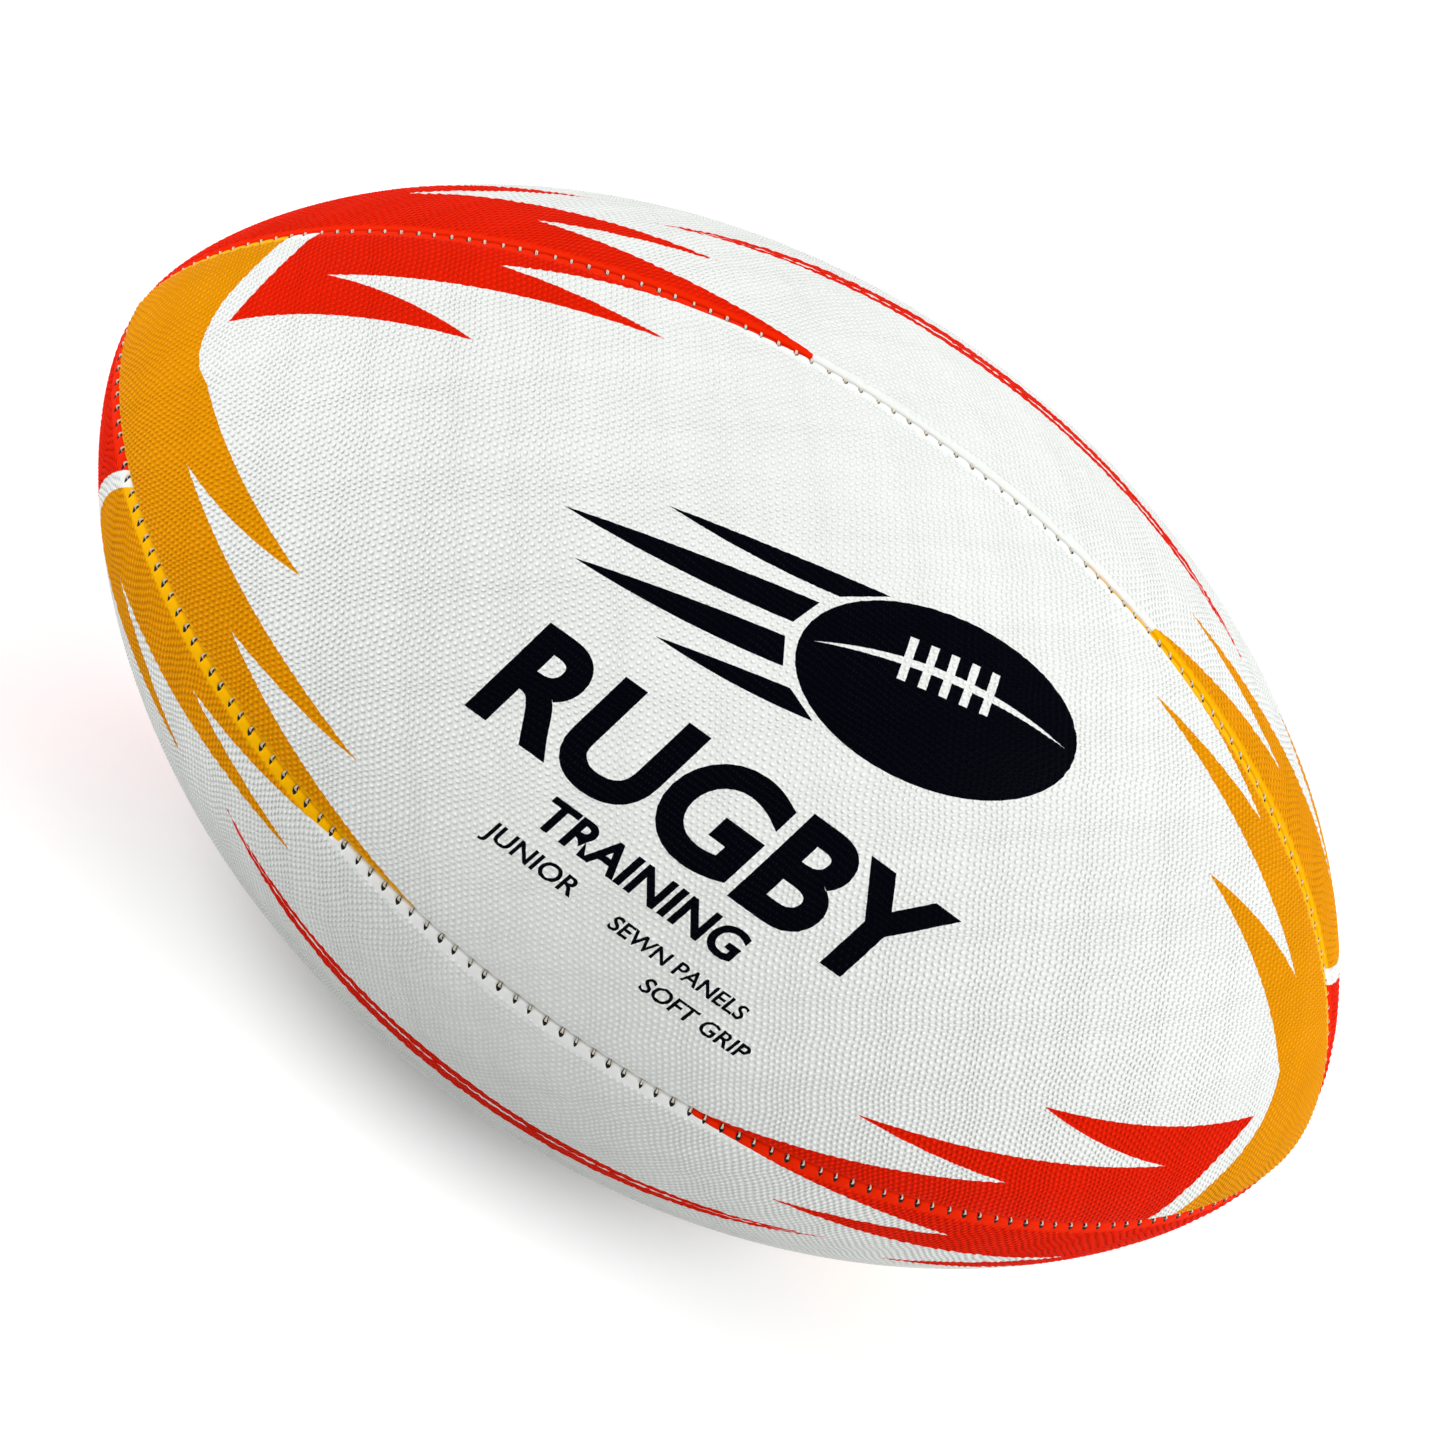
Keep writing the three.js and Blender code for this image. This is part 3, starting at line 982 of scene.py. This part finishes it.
def weave_group():
    """Plain weave over the ball's long axis and round it, with uneven threads."""
    group, given, result = new_group("plain weave", [("Threads", 1400.0)], ["Height", "Shade"])
    place = group.nodes.new("ShaderNodeTexCoord").outputs["Object"]
    split = group.nodes.new("ShaderNodeSeparateXYZ")
    group.links.new(place, split.inputs[0])
    around = add_math(group, "ARCTAN2", split.outputs["Z"], split.outputs["Y"])
    around = add_math(group, "MULTIPLY", around, GREATEST_RADIUS * MM)
    waves = []
    for axis in (split.outputs["X"], around):
        scaled = add_math(group, "MULTIPLY", axis, given.outputs["Threads"])
        waves.append(add_math(group, "SINE", scaled, 0.0))
    checker = add_math(group, "MULTIPLY", waves[0], waves[1])
    height = add_math(group, "ADD", add_math(group, "MULTIPLY", checker, 0.5), 0.5)
    slub = add_noise(group, place, 300, 4)
    height = add_math(group, "ADD", height, add_math(group, "MULTIPLY", slub, 0.5))
    # Painted shade: the weave is coloured lighter on its raised threads and darker in the dips between
    # them; the slub noise adds uneven tone.
    shade = add_math(group, "ADD", add_math(group, "MULTIPLY", checker, 0.12), 0.85)
    shade = add_math(group, "ADD", shade, add_math(group, "MULTIPLY", slub, 0.15))
    group.links.new(height, result.inputs["Height"])
    group.links.new(shade, result.inputs["Shade"])
    return group


def new_material(name):
    material = bpy.data.materials.new(name)
    material.use_nodes = True
    return material, material.node_tree, material.node_tree.nodes["Principled BSDF"]


def add_group(tree, group):
    node = tree.nodes.new("ShaderNodeGroup")
    node.node_tree = group
    return node


def tint(tree, colour, shade, principled):
    """Multiplies a colour by a shade and feeds it to the base colour."""
    mix = tree.nodes.new("ShaderNodeMix")
    mix.data_type = "RGBA"
    mix.blend_type = "MULTIPLY"
    mix.inputs["Factor"].default_value = 1.0
    if isinstance(colour, bpy.types.NodeSocket):
        tree.links.new(colour, mix.inputs[6])
    else:
        mix.inputs[6].default_value = (*colour, 1)
    tree.links.new(shade, mix.inputs[7])
    tree.links.new(mix.outputs[2], principled.inputs["Base Color"])


def add_bump(tree, height, principled, strength, distance):
    bump = tree.nodes.new("ShaderNodeBump")
    bump.inputs["Strength"].default_value = strength
    bump.inputs["Distance"].default_value = distance
    tree.links.new(height, bump.inputs["Height"])
    tree.links.new(bump.outputs["Normal"], principled.inputs["Normal"])


def rubber_material(name, colour, bare_colour, roughness, valley_shade, group):
    """Printed or plain rubber, a little lighter on the smooth band along the seams."""
    material, tree, principled = new_material(name)
    surface = add_group(tree, group)
    # The valleys between pimples get painted shade of this strength.
    surface.inputs["Painted Valley Shade"].default_value = valley_shade
    surface.inputs["Base Roughness"].default_value = roughness
    bare = tree.nodes.new("ShaderNodeAttribute")
    bare.attribute_name = "bare"
    mix = tree.nodes.new("ShaderNodeMix")
    mix.data_type = "RGBA"
    mix.inputs[6].default_value = (*colour, 1)
    mix.inputs[7].default_value = (*bare_colour, 1)
    tree.links.new(bare.outputs["Fac"], mix.inputs["Factor"])
    tint(tree, mix.outputs[2], surface.outputs["Shade"], principled)
    tree.links.new(surface.outputs["Roughness"], principled.inputs["Roughness"])
    principled.inputs["Specular IOR Level"].default_value = 0.016
    add_bump(tree, surface.outputs["Height"], principled, 1.0, 0.0003)
    return material


def simple_material(name, colour, roughness, grain_scale, strength):
    """A plain material with uneven colour, roughness and a fine grain."""
    material, tree, principled = new_material(name)
    place = tree.nodes.new("ShaderNodeTexCoord").outputs["Object"]
    grain = add_noise(tree, place, grain_scale, 4, 0.6)
    broad = add_noise(tree, place, grain_scale / 25, 3)
    shade = add_math(tree, "ADD", add_math(tree, "MULTIPLY", broad, 0.3), 0.8)
    tint(tree, colour, shade, principled)
    rough = add_math(tree, "ADD", add_math(tree, "MULTIPLY", grain, 0.25), roughness - 0.12, True)
    tree.links.new(rough, principled.inputs["Roughness"])
    add_bump(tree, grain, principled, strength, 0.0001)
    return material


def cloth_material(name, colour, group):
    material, tree, principled = new_material(name)
    weave = add_group(tree, group)
    tint(tree, colour, weave.outputs["Shade"], principled)
    principled.inputs["Roughness"].default_value = 0.85
    add_bump(tree, weave.outputs["Height"], principled, 0.7, 0.0003)
    return material


def thread_material():
    """Cream waxed thread with a twist."""
    material, tree, principled = new_material("waxed thread")
    place = tree.nodes.new("ShaderNodeTexCoord").outputs["Object"]
    wave = tree.nodes.new("ShaderNodeTexWave")
    wave.bands_direction = "DIAGONAL"
    wave.inputs["Scale"].default_value = 1800
    wave.inputs["Distortion"].default_value = 1.5
    tree.links.new(place, wave.inputs["Vector"])
    # Painted shade: the twist is coloured lighter on its raised bands and darker in the grooves between
    # them.
    shade = add_math(tree, "ADD", add_math(tree, "MULTIPLY", wave.outputs["Fac"], 0.25), 0.75)
    tint(tree, (0.74, 0.68, 0.55), shade, principled)
    principled.inputs["Roughness"].default_value = 0.5
    add_bump(tree, wave.outputs["Fac"], principled, 0.5, 0.0001)
    return material


# ---------------------------------------------------------------- studio

def tint_grey(tree, shade, principled):
    """Feeds a shade of grey to the base colour."""
    grey = tree.nodes.new("ShaderNodeCombineColor")
    for socket in grey.inputs:
        tree.links.new(shade, socket)
    tree.links.new(grey.outputs[0], principled.inputs["Base Color"])


def build_floor():
    """A pale floor that gets brighter away from the ball, so that it meets the white room unseen: the
    camera sees it with a painted glow that grows away from the ball, and paler than the light it throws
    back onto the ball.
    """
    level = -(GREATEST_RADIUS + PIMPLE_HEIGHT) * MM
    corners = [(x * FLOOR_REACH, y * FLOOR_REACH, level) for x, y in ((-1, -1), (1, -1), (1, 1), (-1, 1))]
    floor = mesh_object("floor", corners, [(0, 1, 2, 3)], [])
    material, tree, principled = new_material("studio floor")
    principled.inputs["Roughness"].default_value = 0.9
    principled.inputs["Specular IOR Level"].default_value = 0.0
    principled.inputs["Emission Color"].default_value = (1, 1, 1, 1)
    # Painted light: camera rays see the floor glow, faintly near the ball and more strongly further off,
    # and see a paler floor colour than other rays.
    seen = tree.nodes.new("ShaderNodeLightPath").outputs["Is Camera Ray"]
    place = tree.nodes.new("ShaderNodeTexCoord").outputs["Object"]
    far = ramp(tree, vector_math(tree, "LENGTH", place), 0.3, 1.1)
    painted_glow = add_math(tree, "ADD", add_math(tree, "MULTIPLY", far, 0.6), 0.12)
    tree.links.new(add_math(tree, "MULTIPLY", seen, painted_glow), principled.inputs["Emission Strength"])
    shade = add_math(tree, "ADD", add_math(tree, "MULTIPLY", seen, 0.35), 0.55)
    tint_grey(tree, shade, principled)
    floor.data.materials.append(material)


def add_light(name, place, power):
    data = bpy.data.lights.new(name, "AREA")
    data.shape = "DISK"
    data.size = SOFTBOX_SIZE
    data.energy = power
    light = bpy.data.objects.new(name, data)
    light.location = place
    light.rotation_euler = (-Vector(place)).to_track_quat("-Z", "Y").to_euler()
    bpy.context.scene.collection.objects.link(light)


def build_lights():
    world = bpy.data.worlds.new("studio")
    world.use_nodes = True
    tree = world.node_tree
    background = tree.nodes["Background"]
    background.inputs["Color"].default_value = (1, 1, 1, 1)
    seen = tree.nodes.new("ShaderNodeLightPath").outputs["Is Camera Ray"]
    strength = add_math(tree, "ADD", add_math(tree, "MULTIPLY", seen, 1 - ROOM_LIGHT), ROOM_LIGHT)
    tree.links.new(strength, background.inputs["Strength"])
    bpy.context.scene.world = world
    add_light("left softbox", (-1.4, -0.4, 0.8), 24)
    add_light("right softbox", (1.4, -0.4, 0.8), 26)
    add_light("back softbox", (0.3, 1.3, 1.0), 8)


def build_camera():
    data = bpy.data.cameras.new("camera")
    data.lens = CAMERA_LENS
    data.sensor_width = 36
    camera = bpy.data.objects.new("camera", data)
    camera.location = CAMERA_PLACE
    camera.rotation_euler = tuple(math.radians(a) for a in CAMERA_TURN)
    bpy.context.scene.collection.objects.link(camera)
    bpy.context.scene.camera = camera


def build_ball():
    surface = rubber_surface_group()
    weave = weave_group()
    covers = [
        # The fifth number of each rubber is the strength of the painted shade in the valleys between
        # pimples.
        rubber_material("white rubber", WHITE, (0.70, 0.71, 0.69), 0.5, 0.17, surface),
        rubber_material("red print", RED, (0.68, 0.016, 0.0), 0.45, 0.3, surface),
        rubber_material("amber print", AMBER, (0.76, 0.38, 0.0), 0.45, 0.26, surface),
        rubber_material("black print", INK, (0.002, 0.003, 0.005), 0.4, 0.1, surface),
        # Near-black painted shade for the inside of the stitch holes.
        simple_material("stitch hole painted shade", (0.006, 0.005, 0.004), 0.9, 3000, 0.2),
    ]
    for side in PANELS:
        build_cover(side, covers)
    thread = thread_material()
    for seam in SEAMS:
        build_stitches(seam, thread)
    cloth = cloth_material("backing cloth", (0.62, 0.56, 0.43), weave)
    for side in PANELS:
        for number in range(len(PLIES)):
            build_ply(side, number, cloth)
    build_patch(cloth_material("patch cloth", (0.25, 0.23, 0.2), weave))
    build_bladder(simple_material("bladder rubber", (0.02, 0.02, 0.022), 0.45, 900, 0.3))
    build_valve(
        simple_material("valve rubber", (0.03, 0.03, 0.032), 0.5, 1500, 0.3),
        simple_material("plug rubber", (0.42, 0.41, 0.38), 0.45, 1500, 0.3),
    )


build_ball()
build_floor()
build_lights()
build_camera()
bpy.context.scene.view_settings.view_transform = "Standard"
